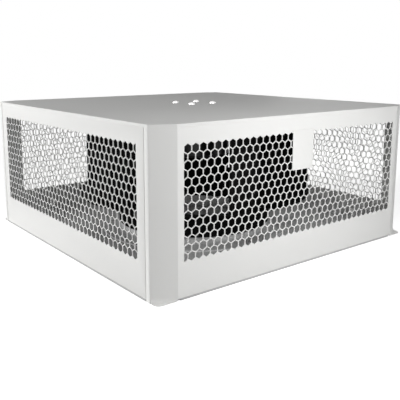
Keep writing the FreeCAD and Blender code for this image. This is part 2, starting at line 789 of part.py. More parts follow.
def blade_space():
    """Room between the two discs, less the weld gap at each."""
    lower = shroud_edges(impeller_sheet/2 + blade_seat_gap)
    ceiling = can_seat + back_plate_dish - blade_seat_gap
    eye = lower[0].firstVertex().Point
    rim = lower[-1].lastVertex().Point
    inner_top = section(back_plate_dish_end, ceiling)
    inner_foot = section(back_plate_dish_end, eye.z)
    outer_top = section(rim.x, ceiling)
    closing = [line(rim, outer_top), line(outer_top, inner_top)]
    closing += [line(inner_top, inner_foot), line(inner_foot, eye)]
    room = lathe(Part.sortEdges(lower + closing)[0])
    return room.cut(disc(impeller_radius, 0, nozzle_high + blade_lift))


def impeller_blade(space):
    """First blade: a sheet bent to one arc, its tip trailing the turn, trimmed to the discs."""
    tip_angle = math.radians(blade_first_angle)
    root_angle = math.radians(blade_first_angle + blade_sweep)
    tip = vec(math.cos(tip_angle), math.sin(tip_angle), 0)*impeller_radius
    root = vec(math.cos(root_angle), math.sin(root_angle), 0)*blade_inner_radius
    chord = root - tip
    outward = vec(chord.y, -chord.x, 0).normalize()
    radius = (chord.Length**2/4 + blade_camber**2)/(2*blade_camber)
    middle = (tip + root)/2
    centre = middle - outward*(radius - blade_camber)

    def point(toward, offset):
        return centre + (toward - centre).normalize()*(radius + offset)

    crown = middle + outward*blade_camber
    outer = [point(p, impeller_sheet/2) for p in (tip, crown, root)]
    inner = [point(p, -impeller_sheet/2) for p in (root, crown, tip)]
    edges = [arc(*outer), line(outer[-1], inner[0]), arc(*inner), line(inner[-1], outer[0])]
    return Part.Face(Part.Wire(edges)).extrude(up*hood_height).common(space)


def hub_screws():
    """Screws that hold the back plate on the rotor can."""
    pieces = []
    for place in hub_screw_places():
        head = disc(hub_screw_head_radius, hub_screw_under, hub_screw_under + hub_screw_head_height, place)
        shank = disc(hub_screw_radius, hub_screw_under - hub_screw_length, hub_screw_under, place)
        pieces.append(head.fuse(shank))
    return Part.makeCompound(pieces)


def blades():
    """Every blade by its node name."""
    first = impeller_blade(blade_space())
    step = 360.0/blade_count
    return {f"impeller_blade_{k + 1}": turned(first, step*k) for k in range(blade_count)}


def build():
    """Every sub-part by its node name."""
    front = end_panel()
    side = side_panel()
    parts = {
        "roof_seal": roof_seal(),
        "base_tray": base_tray(),
        "mounting_rivet_nuts": rivet_nuts(),
        "inlet_nozzle": inlet_nozzle(),
        "nozzle_rivets": nozzle_rivets(),
        "cable_grommet": cable_grommet(),
        "terminal_box": terminal_box(),
        "terminal_box_lid": terminal_box_lid(),
        "lid_screws": lid_screws(),
        "front_panel": front,
        "rear_panel": turned(front, 180.0),
        "left_panel": turned(side, -90.0),
        "right_panel": turned(side, 90.0),
        "panel_studs": panel_studs(),
        "panel_nuts": panel_nuts(),
        "top_plate": top_plate(),
        "top_plate_studs": top_plate_studs(),
        "top_plate_nuts": top_plate_nuts(),
        "motor_flange": motor_flange(),
        "motor_screws": motor_screws(),
        "lower_bearing": bearing(lower_bearing_low),
        "upper_bearing": bearing(upper_bearing_low),
        "stator_core": stator_core(),
        "stator_windings": stator_windings(),
        "rotor_can": rotor_can(),
        "rotor_magnets": rotor_magnets(),
        "rotor_shaft": rotor_shaft(),
        "shaft_circlip": shaft_circlip(),
        "impeller_back_plate": impeller_back_plate(),
        "impeller_shroud": impeller_shroud(),
        "hub_screws": hub_screws(),
    }
    parts.update(blades())
    return parts


def main():
    """Write each sub-part to its own file."""
    os.makedirs("parts", exist_ok=True)
    for name, shape in build().items():
        solids = [s if s.Volume > 0 else s.reversed() for s in shape.Solids]
        Part.makeCompound(solids).exportStep(f"parts/{name}.step")
        print(name, len(solids), round(sum(s.Volume for s in solids)))


main()
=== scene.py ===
"""Enclosure roof fan: a square sheet-steel hood with honeycomb grilles over a backward-curved impeller.

Metres, +Z up. The origin is the centre of the footprint on the roof, and the front is -Y.
"""

from __future__ import annotations

import logging
import math
from dataclasses import dataclass, field
from enum import Enum
from typing import Any, Callable, Optional, Sequence, Union

import bmesh
import bpy
from mathutils import Matrix, Vector

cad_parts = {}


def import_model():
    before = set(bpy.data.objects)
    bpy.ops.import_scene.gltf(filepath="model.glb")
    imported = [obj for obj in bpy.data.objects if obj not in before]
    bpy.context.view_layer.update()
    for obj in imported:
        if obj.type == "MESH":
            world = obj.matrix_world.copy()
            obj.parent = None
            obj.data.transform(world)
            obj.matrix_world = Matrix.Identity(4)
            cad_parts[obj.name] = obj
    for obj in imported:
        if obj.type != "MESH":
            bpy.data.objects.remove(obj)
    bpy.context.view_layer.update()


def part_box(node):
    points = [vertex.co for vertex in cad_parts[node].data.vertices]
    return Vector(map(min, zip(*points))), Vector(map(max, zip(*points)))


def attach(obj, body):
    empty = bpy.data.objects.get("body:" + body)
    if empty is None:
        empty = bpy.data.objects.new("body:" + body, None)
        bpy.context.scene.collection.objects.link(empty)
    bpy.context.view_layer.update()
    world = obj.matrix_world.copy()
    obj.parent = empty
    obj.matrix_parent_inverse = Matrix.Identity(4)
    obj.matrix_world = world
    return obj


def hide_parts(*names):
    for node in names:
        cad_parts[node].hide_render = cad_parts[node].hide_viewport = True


LOG = logging.getLogger("roof_fan")
MM = 0.001
MERGE_DISTANCE = 1e-6              # points of a new mesh that count as one
JOIN_DISTANCE = 1e-5               # corners of the frame's loose triangles that count as one
FLAT_ANGLE = math.radians(0.5)     # between faces of a copied node that become one
SMOOTH_ANGLE = math.radians(32.0)  # between faces that are shaded as one surface
EDGE_ANGLE = math.radians(50.0)    # between faces at the bluntest edge that is rounded
EDGE_STEPS = 2                     # faces across a rounded edge
ARC_STEPS = 6                      # runs along a bend
RING_POINTS = 36                   # points round a fastener
PANEL_SHEET = 1*MM                 # thickness of the four panels

Colour = tuple[float, float, float, float]
Point = tuple[float, float]
Place = tuple[float, float, float]
Rings = list[list[Vector]]


def grey(value: float, warmth: float = 0.0) -> Colour:
    """Give a grey as a colour, with a slight lean towards red when warmth is positive."""
    return (value*(1 + warmth), value, value*(1 - warmth), 1.0)


class Body(Enum):
    """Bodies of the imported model."""

    HOUSING = "housing"
    ROTOR = "rotor"


class Slot(Enum):
    """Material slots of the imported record."""

    HOOD_PAINT = "hood_paint"
    ZINC_SHEET = "zinc_sheet"
    ZINC_FASTENER = "zinc_fastener"
    RIVET_ALUMINIUM = "rivet_aluminium"
    SEAL_FOAM = "seal_foam"
    GROMMET_RUBBER = "grommet_rubber"
    BLACK_PLASTIC = "black_plastic"
    BOX_PLASTIC = "box_plastic"
    MOTOR_CASTING = "motor_casting"
    CAN_PAINT = "can_paint"
    BRIGHT_STEEL = "bright_steel"
    CORE_STEEL = "core_steel"
    MAGNET = "magnet"
    COPPER = "copper"


class Grain(Enum):
    """Surface pattern of a finish."""

    PEEL = "paint film"
    SPANGLE = "zinc crystals"
    BRUSHED = "grinding lines"
    CAST = "cast skin"
    MOULDED = "eroded mould texture"
    FOAM = "closed cells"
    LAMINATED = "stacked sheets"
    WOUND = "turns of wire"


class Section(Enum):
    """Cross-sections of a fastener."""

    ROUND = "circle"
    HEXAGON = "hexagon"


class Side(Enum):
    """Sides of the hood by the turn that brings the front there, in degrees."""

    FRONT = 0
    RIGHT = 90
    REAR = 180
    LEFT = 270


class Wire:
    """A number on a node socket, ready for arithmetic."""

    def __init__(self, bench: Bench, socket: bpy.types.NodeSocket) -> None:
        """Keep the bench that adds nodes and the socket that carries the number."""
        self.bench = bench
        self.socket = socket

    def __add__(self, other: Number) -> Wire:
        """Add a number on the right."""
        return self.bench.maths("ADD", self, other)

    def __radd__(self, other: Number) -> Wire:
        """Add a number on the left."""
        return self.bench.maths("ADD", other, self)

    def __sub__(self, other: Number) -> Wire:
        """Subtract a number."""
        return self.bench.maths("SUBTRACT", self, other)

    def __mul__(self, other: Number) -> Wire:
        """Multiply by a number."""
        return self.bench.maths("MULTIPLY", self, other)

    def __truediv__(self, other: Number) -> Wire:
        """Divide by a number."""
        return self.bench.maths("DIVIDE", self, other)

    def __rtruediv__(self, other: Number) -> Wire:
        """Divide a number by this one."""
        return self.bench.maths("DIVIDE", other, self)


Number = Union[Wire, float]
Key = Union[int, str]


class Bench:
    """A node tree under construction."""

    def __init__(self, tree: bpy.types.NodeTree) -> None:
        """Start on an emptied tree."""
        self.tree = tree
        tree.nodes.clear()

    def add(self, kind: str, settings: Optional[dict[str, Any]] = None,
            sockets: Optional[dict[Key, Any]] = None) -> bpy.types.Node:
        """Add a node.

        Args:
            kind: the node's type.
            settings: its properties, set first.
            sockets: value, link or list of links of each input, by name or number.

        Returns:
            The node.
        """
        node = self.tree.nodes.new(kind)
        for name, value in (settings or {}).items():
            setattr(node, name, value)
        for key, value in (sockets or {}).items():
            links = value if isinstance(value, list) else [value]
            for link in links:
                source = link.socket if isinstance(link, Wire) else link
                if isinstance(source, bpy.types.NodeSocket):
                    self.tree.links.new(source, node.inputs[key])
                else:
                    node.inputs[key].default_value = source
        return node

    def wire(self, kind: str, settings: Optional[dict[str, Any]] = None,
             sockets: Optional[dict[Key, Any]] = None, output: Key = 0) -> Wire:
        """Add a node and give one of its outputs, by name or number, as a number for arithmetic."""
        return Wire(self, self.add(kind, settings, sockets).outputs[output])

    def maths(self, operation: str, *values: Number) -> Wire:
        """Add one Math node on numbers and give its result."""
        return self.wire("ShaderNodeMath", {"operation": operation}, dict(enumerate(values)))

    def mix(self, factor: Number, first: Any, second: Any) -> bpy.types.NodeSocket:
        """Mix two colours or their sockets, where the factor is the share of the second."""
        # The node's inputs 6 and 7 and its output 2 are the ones for colours.
        node = self.add("ShaderNodeMix", {"data_type": "RGBA"}, {0: factor, 6: first, 7: second})
        return node.outputs[2]


@dataclass(frozen=True)
class Finish:
    """A surface: its colours, gloss and relief."""

    CLOUD_DETAIL = 3.0                # finer layers of the uneven tone
    FILM_DETAIL = 2.0                 # of a paint film or a mould texture
    LINE_DETAIL = 4.0                 # of grinding lines
    LINE_STRETCH = (1.0, 1.0, 12.0)   # how much finer grinding lines are along each axis
    SKIN_DETAIL = 5.0                 # of a cast skin
    LUMP_DETAIL = 2.0                 # of its coarse lumps
    LUMP_SIZE = 5.0                   # of a lump, in grains
    LUMP_SHARE = 0.4                  # of the lumps in the height
    WAVE_BAND = math.pi/10.0          # width of a Wave node's band at a scale of 1
    WAVE_WOBBLE = 0.4                 # of sheets and turns of wire
    COAT_ROUGHNESS = 0.2

    slot: Slot
    colour: Colour
    shade: Colour
    grain: Grain
    roughness: float
    size: float
    depth: float
    spread: float = 0.1
    metallic: float = 0.0
    coat: float = 0.0
    specular: float = 0.5
    cloud: float = 0.12

    def material(self) -> bpy.types.Material:
        """Build the finish as a material.

        Returns:
            The material, named for its slot.
        """
        material = bpy.data.materials.new(f"{self.slot.value}_finish")
        material.use_nodes = True
        bench = Bench(material.node_tree)
        place = bench.add("ShaderNodeTexCoord").outputs["Object"]
        relief, tone = self.relief(bench, place)
        blend = (self.noise(bench, place, self.cloud, self.CLOUD_DETAIL) + tone)*0.5
        bump = bench.add("ShaderNodeBump", None, {"Strength": 1.0, "Distance": self.depth, "Height": relief})
        shader = bench.add("ShaderNodeBsdfPrincipled", None, {
            "Base Color": bench.mix(blend, self.colour, self.shade),
            "Roughness": self.roughness + (blend - 0.5)*(2.0*self.spread),
            "Metallic": self.metallic,
            "Coat Weight": self.coat,
            "Coat Roughness": self.COAT_ROUGHNESS,
            "Specular IOR Level": self.specular,
            "Normal": bump.outputs["Normal"],
        })
        bench.add("ShaderNodeOutputMaterial", None, {"Surface": shader.outputs["BSDF"]})
        return material

    def noise(self, bench: Bench, place: bpy.types.NodeSocket, size: float, detail: float) -> Wire:
        """Add noise round 0.5 whose features have a size, with a number of finer layers."""
        return bench.wire("ShaderNodeTexNoise", None, {"Vector": place, "Scale": 1.0/size, "Detail": detail})

    def cells(self, bench: Bench, place: bpy.types.NodeSocket, feature: str) -> bpy.types.Node:
        """Add cells of the grain's size, measured by a feature of the Voronoi node."""
        sockets = {"Vector": place, "Scale": 1.0/self.size}
        return bench.add("ShaderNodeTexVoronoi", {"feature": feature}, sockets)

    def relief(self, bench: Bench, place: bpy.types.NodeSocket) -> tuple[Wire, Wire]:
        """Add the pattern of the grain.

        Args:
            bench: the material's bench.
            place: coordinates.

        Returns:
            The height and the tone of the pattern, both from 0 to 1.
        """
        if self.grain is Grain.SPANGLE:
            height = Wire(bench, self.cells(bench, place, "SMOOTH_F1").outputs["Distance"])
            crystals = self.cells(bench, place, "F1").outputs["Color"]
            return height, bench.wire("ShaderNodeRGBToBW", None, {"Color": crystals})
        if self.grain is Grain.CAST:
            skin = self.noise(bench, place, self.size, self.SKIN_DETAIL)
            lumps = self.noise(bench, place, self.LUMP_SIZE*self.size, self.LUMP_DETAIL)
            return skin*(1.0 - self.LUMP_SHARE) + lumps*self.LUMP_SHARE, lumps
        if self.grain is Grain.FOAM:
            height = Wire(bench, self.cells(bench, place, "SMOOTH_F1").outputs["Distance"])
        elif self.grain is Grain.BRUSHED:
            lines = bench.add("ShaderNodeMapping", None, {"Vector": place, "Scale": self.LINE_STRETCH})
            height = self.noise(bench, lines.outputs["Vector"], self.size, self.LINE_DETAIL)
        elif self.grain in (Grain.LAMINATED, Grain.WOUND):
            direction = "Z" if self.grain is Grain.LAMINATED else "DIAGONAL"
            bands = {"Vector": place, "Scale": self.WAVE_BAND/self.size, "Distortion": self.WAVE_WOBBLE}
            height = bench.wire("ShaderNodeTexWave", {"bands_direction": direction}, bands, "Fac")
        else:
            height = self.noise(bench, place, self.size, self.FILM_DETAIL)
        return height, height


class FinishShelf:
    """Every finish of the fan, made once."""

    FINISHES = (
        Finish(Slot.HOOD_PAINT, (0.80, 0.80, 0.786, 1.0), (0.765, 0.765, 0.752, 1.0), Grain.PEEL,
               roughness=0.62, size=0.9*MM, depth=0.02*MM, spread=0.06, specular=0.25),
        Finish(Slot.ZINC_SHEET, grey(0.78), grey(0.64), Grain.SPANGLE,
               roughness=0.60, size=9*MM, depth=0.02*MM, spread=0.16, metallic=0.2),
        Finish(Slot.ZINC_FASTENER, grey(0.92, 0.01), grey(0.82, 0.01), Grain.CAST,
               roughness=0.34, size=0.8*MM, depth=0.02*MM, spread=0.14, metallic=1.0, cloud=6*MM),
        Finish(Slot.RIVET_ALUMINIUM, grey(0.78), grey(0.66), Grain.BRUSHED,
               roughness=0.34, size=1.2*MM, depth=0.01*MM, metallic=1.0, cloud=5*MM),
        Finish(Slot.SEAL_FOAM, grey(0.54), grey(0.44), Grain.FOAM,
               roughness=0.85, size=0.7*MM, depth=0.12*MM, specular=0.25),
        Finish(Slot.GROMMET_RUBBER, grey(0.022), grey(0.035), Grain.MOULDED,
               roughness=0.62, size=0.6*MM, depth=0.02*MM, spread=0.12),
        Finish(Slot.BLACK_PLASTIC, grey(0.006), grey(0.011), Grain.MOULDED,
               roughness=0.52, size=0.5*MM, depth=0.015*MM, spread=0.12, specular=0.005),
        Finish(Slot.BOX_PLASTIC, grey(0.42), grey(0.38), Grain.MOULDED,
               roughness=0.50, size=0.5*MM, depth=0.02*MM),
        Finish(Slot.MOTOR_CASTING, grey(0.60), grey(0.45), Grain.CAST,
               roughness=0.46, size=1.1*MM, depth=0.06*MM, spread=0.16, metallic=0.9),
        Finish(Slot.CAN_PAINT, grey(0.022), grey(0.032), Grain.PEEL,
               roughness=0.36, size=0.9*MM, depth=0.02*MM, coat=0.2),
        Finish(Slot.BRIGHT_STEEL, grey(0.62), grey(0.54), Grain.BRUSHED,
               roughness=0.22, size=3*MM, depth=0.006*MM, spread=0.12, metallic=1.0),
        Finish(Slot.CORE_STEEL, grey(0.38), grey(0.24), Grain.LAMINATED,
               roughness=0.45, size=0.5*MM, depth=0.03*MM, spread=0.2, metallic=0.9),
        Finish(Slot.MAGNET, grey(0.10), grey(0.07), Grain.CAST,
               roughness=0.58, size=0.5*MM, depth=0.03*MM, metallic=0.3),
        Finish(Slot.COPPER, (0.62, 0.25, 0.10, 1.0), (0.42, 0.15, 0.06, 1.0), Grain.WOUND,
               roughness=0.30, size=0.8*MM, depth=0.1*MM, metallic=0.9, coat=0.5),
    )

    def __init__(self) -> None:
        """Make every material."""
        self.materials = {finish.slot: finish.material() for finish in self.FINISHES}

    def __getitem__(self, slot: Slot) -> bpy.types.Material:
        """Give the material of a slot."""
        return self.materials[slot]


class Draft:
    """A mesh in the making."""

    def __init__(self) -> None:
        """Start empty."""
        self.mesh = bmesh.new()

    def surface(self, rows: Sequence[Sequence[Vector]]) -> Draft:
        """Add an open surface of four-sided faces through rows of points.

        Args:
            rows: rows of points, all of the same length.

        Returns:
            This draft.
        """
        grid = [[self.mesh.verts.new(point) for point in row] for row in rows]
        for low, high in zip(grid, grid[1:]):
            for k in range(len(low) - 1):
                self.mesh.faces.new((low[k], low[k + 1], high[k + 1], high[k]))
        return self

    def loft(self, rings: Sequence[Sequence[Vector]], closed: bool = False) -> Draft:
        """Add a solid through closed rings of points.

        Args:
            rings: rings with the same number of points.
            closed: join the last ring to the first instead of filling both.

        Returns:
            This draft.
        """
        loops = [[self.mesh.verts.new(point) for point in loop] for loop in rings]
        pairs = list(zip(loops, loops[1:])) + ([(loops[-1], loops[0])] if closed else [])
        for low, high in pairs:
            for k, corner in enumerate(low):
                after = (k + 1) % len(low)
                self.mesh.faces.new((corner, low[after], high[after], high[k]))
        if not closed:
            self.mesh.faces.new(loops[0][::-1])
            self.mesh.faces.new(loops[-1])
        return self

    def make(self, name: str, solid: bool = True) -> bpy.types.Object:
        """Turn the draft into an object.

        Args:
            name: of the object.
            solid: the draft is closed, so its faces are turned outwards.

        Returns:
            The object, at the origin.
        """
        bmesh.ops.remove_doubles(self.mesh, verts=self.mesh.verts[:], dist=MERGE_DISTANCE)
        if solid:
            bmesh.ops.recalc_face_normals(self.mesh, faces=self.mesh.faces[:])
        mesh = bpy.data.meshes.new(name)
        self.mesh.to_mesh(mesh)
        self.mesh.free()
        obj = bpy.data.objects.new(name, mesh)
        bpy.context.scene.collection.objects.link(obj)
        return obj


def ring(points: int, radius: Callable[[float], float], level: float, centre: Point) -> list[Vector]:
    """Give a closed level ring of points.

    Args:
        points: number of points.
        radius: radius at an angle.
        level: height of the ring.
        centre: plan place of its middle.

    Returns:
        The points.
    """
    angles = [math.tau*k/points for k in range(points)]
    x, y = centre
    return [Vector((x + radius(a)*math.cos(a), y + radius(a)*math.sin(a), level)) for a in angles]


def circle(radius: float, level: float, centre: Point = (0.0, 0.0),
           points: int = RING_POINTS) -> list[Vector]:
    """Give a level circle of points."""
    return ring(points, lambda angle: radius, level, centre)


def hexagon_radius(apothem: float, angle: float) -> float:
    """Give the radius of a hexagon at an angle from the middle of a side."""
    third = math.pi/3
    return apothem/math.cos((angle + third/2) % third - third/2)


def hexagon(apothem: float, level: float, centre: Point) -> list[Vector]:
    """Give a level hexagon of points."""
    return ring(RING_POINTS, lambda angle: hexagon_radius(apothem, angle), level, centre)


def stack(cuts: Sequence[tuple[Section, float, float]], centre: Point = (0.0, 0.0)) -> Rings:
    """Give the rings of a fastener that stands upright.

    Args:
        cuts: section, half width and height of each ring.
        centre: plan place of its axis.

    Returns:
        The rings, all with the same number of points.
    """
    shapes = {Section.ROUND: circle, Section.HEXAGON: hexagon}
    return [shapes[section](size, level, centre) for section, size, level in cuts]


def bend(radius: float, start: float = 0.0) -> list[Point]:
    """Give the points of a rounded edge between a wall and a level top.

    Args:
        radius: of the rounding.
        start: its angle at the first point, where 0 is on the wall.

    Returns:
        How far each point lies inside the wall and below the top, from the wall upwards.
    """
    angles = [start + (math.pi/2 - start)*k/ARC_STEPS for k in range(ARC_STEPS + 1)]
    return [(radius*(1 - math.cos(a)), radius*(1 - math.sin(a))) for a in angles]


@dataclass(frozen=True)
class ButtonScrew:
    """A screw with a domed head and a hexagon socket; thread and head are radii."""

    DOME = ((1.0, 0.0), (1.0, 0.2), (0.95, 0.45), (0.86, 0.66), (0.72, 0.84), (0.56, 0.95), (0.4, 1.0))

    thread: float
    head: float
    crown: float
    socket: float
    depth: float

    def rings(self, low: float, high: float, centre: Point) -> Rings:
        """Give the rings of the screw.

        Args:
            low: level of its tip.
            high: level of its crown.
            centre: plan place of its axis.

        Returns:
            The rings, from the tip to the bottom of the socket.
        """
        seat = high - self.crown
        cuts = [(Section.ROUND, self.thread, low), (Section.ROUND, self.thread, seat)]
        cuts += [(Section.ROUND, share*self.head, seat + rise*self.crown) for share, rise in self.DOME]
        cuts += [(Section.HEXAGON, self.socket/2, level) for level in (high, high - self.depth)]
        return stack(cuts, centre)


@dataclass(frozen=True)
class Nut:
    """A hexagon nut on a welded stud; its width is across the flats, and grip is what it holds."""

    EDGE_SHARE = 0.1
    FACE_SHARE = 0.97

    width: float
    height: float
    stud: float
    grip: float
    past: float = 2*MM

    def rings(self) -> Rings:
        """Give the rings of the stud and its nut.

        Returns:
            The rings, from the stud's root upwards.
        """
        flat, radius = self.width/2, self.stud/2
        face, edge = self.FACE_SHARE*flat, self.EDGE_SHARE*self.height
        seat, top = self.grip, self.grip + self.height
        tip = top + self.past
        return stack([
            (Section.ROUND, radius, 0.0),
            (Section.ROUND, radius, seat),
            (Section.ROUND, face, seat),
            (Section.HEXAGON, flat, seat + edge),
            (Section.HEXAGON, flat, top - edge),
            (Section.ROUND, face, top),
            (Section.ROUND, radius, top),
            (Section.ROUND, radius, tip - edge),
            (Section.ROUND, radius - edge, tip),
        ])

    def pair(self, name: str, stand: Matrix, spacing: float) -> bpy.types.Object:
        """Build two of them at the front.

        Args:
            name: of the object.
            stand: place and direction of a stud in the middle.
            spacing: distance between the two along X.

        Returns:
            The object.
        """
        draft = Draft()
        corner_up = Matrix.Rotation(math.pi/6, 4, "Z")
        for x in (-spacing/2, spacing/2):
            place = Matrix.Translation((x, 0.0, 0.0)) @ stand @ corner_up
            draft.loft([[place @ point for point in loop] for loop in self.rings()])
        return draft.make(name)


def settle(obj: bpy.types.Object) -> bpy.types.Object:
    """Turn an object's modifiers into its plain mesh.

    Args:
        obj: the object.

    Returns:
        The same object, without modifiers.
    """
    graph = bpy.context.evaluated_depsgraph_get()
    mesh = bpy.data.meshes.new_from_object(obj.evaluated_get(graph))
    old = obj.data
    obj.modifiers.clear()
    obj.data = mesh
    bpy.data.meshes.remove(old)
    return obj


def round_edges(obj: bpy.types.Object, width: float) -> bpy.types.Object:
    """Round the sharp edges of an object.

    Args:
        obj: the object.
        width: of the rounding.

    Returns:
        The same object.
    """
    bevel = obj.modifiers.new("round_edges", "BEVEL")
    bevel.width = width
    bevel.segments = EDGE_STEPS
    bevel.limit_method = "ANGLE"
    bevel.angle_limit = EDGE_ANGLE
    return settle(obj)


def smooth(obj: bpy.types.Object) -> None:
    """Shade an object smooth, apart from its sharp edges."""
    obj.data.shade_smooth()
    obj.data.set_sharp_from_angle(angle=SMOOTH_ANGLE)


def merged_copy(node: str, name: str) -> bpy.types.Object:
    """Copy a node of the frame with its triangles joined.

    Args:
        node: name of the node.
        name: of the copy.

    Returns:
        The copy, at the origin.
    """
    draft = Draft()
    mesh = draft.mesh
    mesh.from_mesh(bpy.data.objects[node].data)
    bmesh.ops.remove_doubles(mesh, verts=mesh.verts[:], dist=JOIN_DISTANCE)
    bmesh.ops.dissolve_limit(mesh, angle_limit=FLAT_ANGLE, verts=mesh.verts[:], edges=mesh.edges[:])
    copy = draft.make(name)
    copy.data.materials.clear()
    return copy


class GeometryTree(Bench):
    """A geometry node tree with named inputs."""

    def __init__(self, name: str, inputs: dict[str, str]) -> None:
        """Open the tree.

        Args:
            name: of the tree.
            inputs: socket type of each named input.
        """
        super().__init__(bpy.data.node_groups.new(name, "GeometryNodeTree"))
        sockets = {"Geometry": "NodeSocketGeometry", **inputs, "Finish": "NodeSocketMaterial"}
        for label, kind in sockets.items():
            self.tree.interface.new_socket(label, in_out="INPUT", socket_type=kind)
        self.tree.interface.new_socket("Geometry", in_out="OUTPUT", socket_type="NodeSocketGeometry")
        self.source = self.add("NodeGroupInput")

    def given(self, label: str) -> Wire:
        """Give a named input."""
        return Wire(self, self.source.outputs[label])

    def spot(self, x: Number = 0.0, y: Number = 0.0, z: Number = 0.0) -> bpy.types.NodeSocket:
        """Give a vector of three numbers."""
        return self.add("ShaderNodeCombineXYZ", None, {0: x, 1: y, 2: z}).outputs[0]

    def turn(self, x: Number = 0.0, z: Number = 0.0) -> bpy.types.NodeSocket:
        """Give a rotation about X and then Z."""
        return self.add("FunctionNodeEulerToRotation", None, {0: self.spot(x, 0.0, z)}).outputs[0]

    def close(self, geometry: bpy.types.NodeSocket) -> None:
        """End the tree: instances made real, and the finish set.

        Args:
            geometry: what the tree has made.
        """
        real = self.add("GeometryNodeRealizeInstances", None, {"Geometry": geometry})
        dressed = self.add("GeometryNodeSetMaterial", None, {
            "Geometry": real.outputs[0], "Material": self.given("Finish")})
        self.add("NodeGroupOutput", None, {0: dressed.outputs[0]})

    def run(self, obj: bpy.types.Object, values: dict[str, Any]) -> bpy.types.Object:
        """Run the tree on an object and keep the result as its plain mesh.

        Args:
            obj: the object.
            values: of the tree's inputs by name.

        Returns:
            The same object.
        """
        modifier = obj.modifiers.new(self.tree.name, "NODES")
        modifier.node_group = self.tree
        for item in self.tree.interface.items_tree:
            if item.in_out == "INPUT" and item.name in values:
                modifier[item.identifier] = values[item.name]
        return settle(obj)


class TurnedCopies(GeometryTree):
    """Copies of a piece round the vertical axis of the fan."""

    def __init__(self) -> None:
        """Build the tree."""
        super().__init__("turned_copies", {"Copies": "NodeSocketInt"})
        copies = self.given("Copies")
        points = self.add("GeometryNodePoints", None, {"Count": copies})
        step = math.tau/copies*self.wire("GeometryNodeInputIndex")
        spread = self.add("GeometryNodeInstanceOnPoints", None, {
            "Points": points.outputs[0], "Instance": self.given("Geometry"), "Rotation": self.turn(z=step)})
        self.close(spread.outputs[0])


class Honeycomb(GeometryTree):
    """Rows of hexagonal holes through a sheet that faces -Y, every other row shifted by half a cell."""

    def __init__(self) -> None:
        """Build the tree."""
        super().__init__("honeycomb", {
            "Cell": "NodeSocketObject", "Half Cell": "NodeSocketObject", "Pitch": "NodeSocketFloat",
            "Row Step": "NodeSocketFloat", "Rows": "NodeSocketInt", "Columns": "NodeSocketInt",
            "Face": "NodeSocketFloat", "Middle": "NodeSocketFloat"})
        pitch, step = self.given("Pitch"), self.given("Row Step")
        rows, columns = self.given("Rows"), self.given("Columns")
        reach = (rows - 1.0)*step
        grid = self.add("GeometryNodeMeshGrid", None, {
            "Size X": (columns - 1.0)*pitch, "Size Y": reach,
            "Vertices X": columns, "Vertices Y": rows}).outputs[0]
        ends = self.add("GeometryNodeMeshLine", None, {
            "Count": rows, "Start Location": self.spot(y=reach*-0.5), "Offset": self.spot(y=step)}).outputs[0]
        # Each row moves a quarter of the pitch to its side, and its half cell fills the other end.
        lean = self.lean(rows, step)
        whole = self.spread(grid, "Cell", lean*pitch*0.25, 0.0)
        halves = self.spread(ends, "Half Cell", lean*pitch*(columns*-0.5 - 0.25), (lean + 1.0)*(math.pi/2))
        joined = self.add("GeometryNodeJoinGeometry", None, {0: [whole, halves]})
        real = self.add("GeometryNodeRealizeInstances", None, {0: joined.outputs[0]})
        stood = self.add("GeometryNodeTransform", None, {
            "Geometry": real.outputs[0], "Rotation": self.turn(x=math.pi/2),
            "Translation": self.spot(y=self.given("Face"), z=self.given("Middle"))})
        cut = self.add("GeometryNodeMeshBoolean", {"operation": "DIFFERENCE", "solver": "MANIFOLD"},
                       {"Mesh 1": self.given("Geometry"), "Mesh 2": [stood.outputs[0]]})
        self.close(cut.outputs["Mesh"])

    def lean(self, rows: Wire, step: Wire) -> Wire:
        """Give the side to which a row is shifted.

        Args:
            rows: number of rows.
            step: distance between them.

        Returns:
            -1 for the top row and every second row below it, and 1 for the others.
        """
        position = self.add("GeometryNodeInputPosition").outputs[0]
        height = self.wire("ShaderNodeSeparateXYZ", None, {0: position}, "Y")
        from_top = (rows - 1.0)*0.5 - height/step
        odd = self.maths("MODULO", self.maths("ROUND", from_top), 2.0)
        return odd*2.0 - 1.0

    def spread(self, points: bpy.types.NodeSocket, cell: str, shift: Wire,
               turn: Number) -> bpy.types.NodeSocket:
        """Put cells on points.

        Args:
            points: the points.
            cell: name of the input that holds the cell.
            shift: of the points along X.
            turn: of the cells in the sheet.

        Returns:
            The cells.
        """
        shape = self.add("GeometryNodeObjectInfo", None, {0: self.given(cell)}).outputs["Geometry"]
        shifted = self.add("GeometryNodeSetPosition", None, {
            "Geometry": points, "Offset": self.spot(x=shift)})
        placed = self.add("GeometryNodeInstanceOnPoints", None, {
            "Points": shifted.outputs[0], "Instance": shape, "Rotation": self.turn(z=turn)})
        return placed.outputs[0]


@dataclass
class SubAssembly:
    """Pieces that ride on one body, with the shared finishes and trees."""

    shelf: FinishShelf
    copies: TurnedCopies
    body: Body = Body.HOUSING

    def fit(self, obj: bpy.types.Object, slot: Slot, *nodes: str) -> None:
        """Give a piece its finish, its body and the nodes that it stands for.

        Args:
            obj: the piece.
            slot: of its finish.
            nodes: names of the nodes.
        """
        obj.data.materials.clear()
        obj.data.materials.append(self.shelf[slot])
        smooth(obj)
        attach(obj, self.body.value)
        if nodes:
            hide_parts(*nodes)
        LOG.info("%s: %d faces", obj.name, len(obj.data.polygons))

    def spread(self, obj: bpy.types.Object, copies: int, slot: Slot, *nodes: str) -> None:
        """Repeat a piece round the axis and fit the copies as one object."""
        self.fit(self.copies.run(obj, {"Copies": copies, "Finish": self.shelf[slot]}), slot, *nodes)

    def dress(self, slot: Slot, *nodes: str) -> None:
        """Give nodes of the frame their finish.

        Args:
            slot: of the finish.
            nodes: names of the nodes.
        """
        for node in nodes:
            for socket in bpy.data.objects[node].material_slots:
                socket.material = self.shelf[slot]
            LOG.info("%s: %s", node, slot.value)


